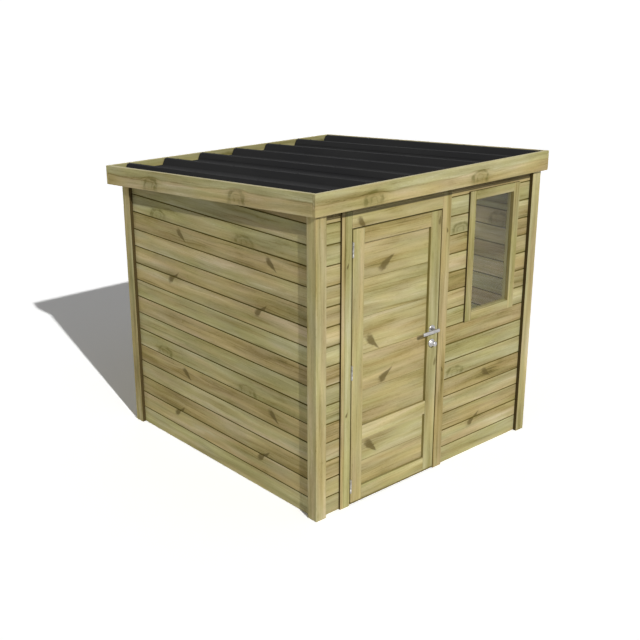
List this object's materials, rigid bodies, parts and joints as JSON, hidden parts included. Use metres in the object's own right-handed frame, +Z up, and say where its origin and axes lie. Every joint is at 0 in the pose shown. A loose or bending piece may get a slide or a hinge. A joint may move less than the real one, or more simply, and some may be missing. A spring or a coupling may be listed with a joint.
{
  "type": "wooden garden shed",
  "caption": "Square board-walled garden shed with a ribbed mono-pitch metal roof behind a fascia, a framed ledge door with lever handle, and a fixed window.",
  "frame": {"origin": "on the ground under the middle of the whole outline, door lever included", "axes": "+Z up, +Y from the door side to the back, +X to the right seen from the door side"},
  "size_m": [2.258, 2.395, 2.2074],
  "materials": {
    "wall_boards": "planed pressure-treated pine",
    "posts_and_fascia": "planed pressure-treated pine",
    "door_and_window": "planed pressure-treated pine",
    "roof_sheet": "matte black coating on steel",
    "glass": "clear pane, slightly grey",
    "hardware": "satin"
  },
  "bodies": {
    "shed": {"back_wall": "wall_boards", "corner_post_back_left": "posts_and_fascia", "corner_post_back_right": "posts_and_fascia", "corner_post_front_left": "posts_and_fascia", "corner_post_front_right": "posts_and_fascia", "cross_wall_plates": "posts_and_fascia", "door_header": "door_and_window", "door_jamb_left": "door_and_window", "door_jamb_right": "door_and_window", "door_threshold": "door_and_window", "fascia_back": "posts_and_fascia", "fascia_front": "posts_and_fascia", "fascia_left": "posts_and_fascia", "fascia_right": "posts_and_fascia", "front_wall_left": "wall_boards", "front_wall_middle": "wall_boards", "front_wall_over_window": "wall_boards", "front_wall_right": "wall_boards", "front_wall_under_window": "wall_boards", "hinge_frame_leaves": "hardware", "left_wall": "wall_boards", "right_wall": "wall_boards", "roof_purlins": "posts_and_fascia", "roof_sheet_left": "roof_sheet", "roof_sheet_middle": "roof_sheet", "roof_sheet_right": "roof_sheet", "side_wall_plates": "posts_and_fascia", "window_glass": "glass", "window_rail_bottom": "door_and_window", "window_rail_top": "door_and_window", "window_stile_left": "door_and_window", "window_stile_right": "door_and_window"},
    "door": {"door_panel_bottom": "door_and_window", "door_panel_top": "door_and_window", "door_rail_bottom": "door_and_window", "door_rail_middle": "door_and_window", "door_rail_top": "door_and_window", "door_stile_left": "door_and_window", "door_stile_right": "door_and_window", "hinge_door_leaves": "hardware", "lever_rosettes": "hardware", "lock_rosettes": "hardware"},
    "lever": {"lever_inside": "hardware", "lever_outside": "hardware", "lever_spindle": "hardware"}
  },
  "joints": [
    {"name": "door_hinge", "type": "hinge", "parent": "shed", "child": "door", "pos_m": [-0.7785, -1.1455, 0.02], "axis": [0, 0, -1], "range_deg": [0, 110]},
    {"name": "lever_turn", "type": "hinge", "parent": "door", "child": "lever", "pos_m": [-0.018, -1.1395, 1.097], "axis": [0, -1, 0], "range_deg": [0, 45], "stiffness_Nm_per_rad": 2, "springref_deg": -22.92}
  ]
}
